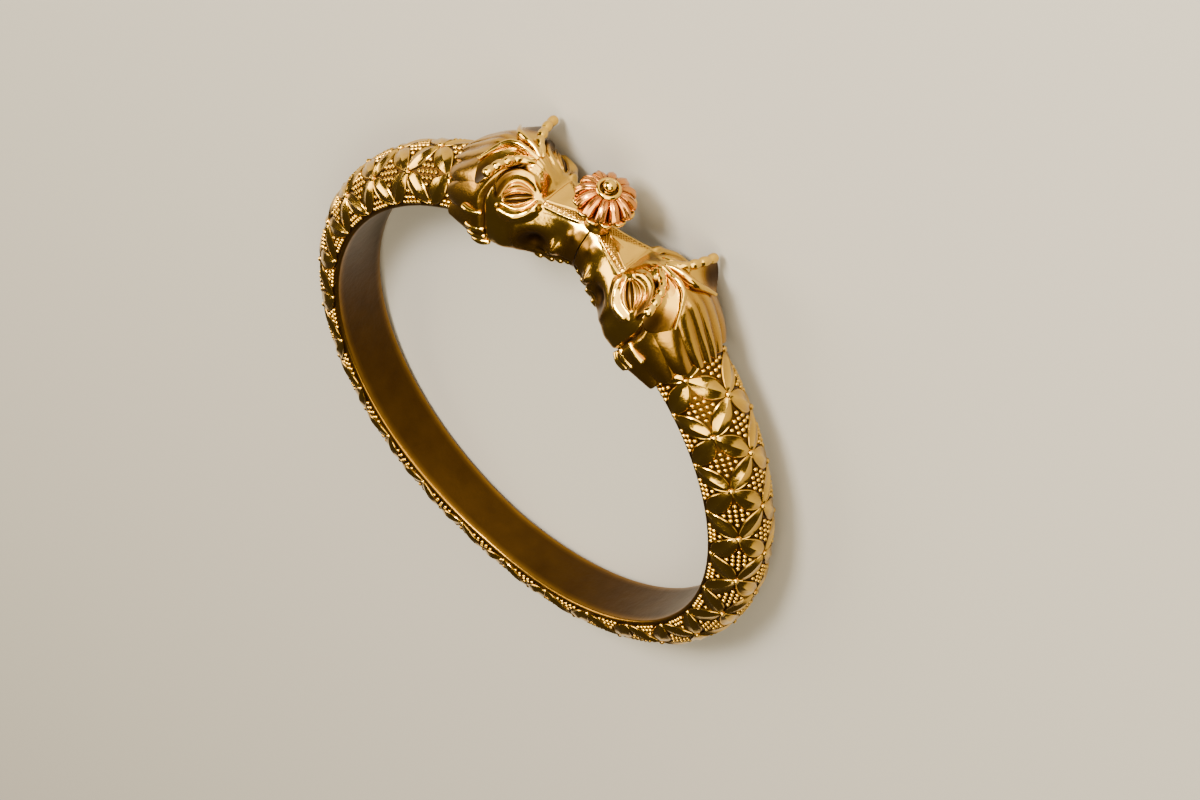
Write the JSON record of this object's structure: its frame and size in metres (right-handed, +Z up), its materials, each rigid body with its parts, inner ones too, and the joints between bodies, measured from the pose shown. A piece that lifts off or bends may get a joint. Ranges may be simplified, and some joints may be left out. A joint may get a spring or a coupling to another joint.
{
  "type": "animal-head kada bangle",
  "caption": "Cast brass kada bangle, lying on its side: a leaf lattice band whose ends carry two animal heads, snout to snout under a screwed rosette.",
  "frame": {"origin": "middle of the bangle's footprint, on the table that it lies on", "axes": "+Z up; the two heads meet at the front, -Y, and the band's back is at +Y; +X is to the right of a viewer at the front"},
  "size_m": [0.0706, 0.079, 0.014],
  "materials": {
    "gold": "polished yellow gold plating with dark recesses",
    "rose_gold": "polished rose gold plating"
  },
  "bodies": {
    "root": {"band": "gold", "head_left": "gold", "head_right": "gold", "flower": "rose_gold", "flower_screw": "gold"}
  },
  "joints": []
}
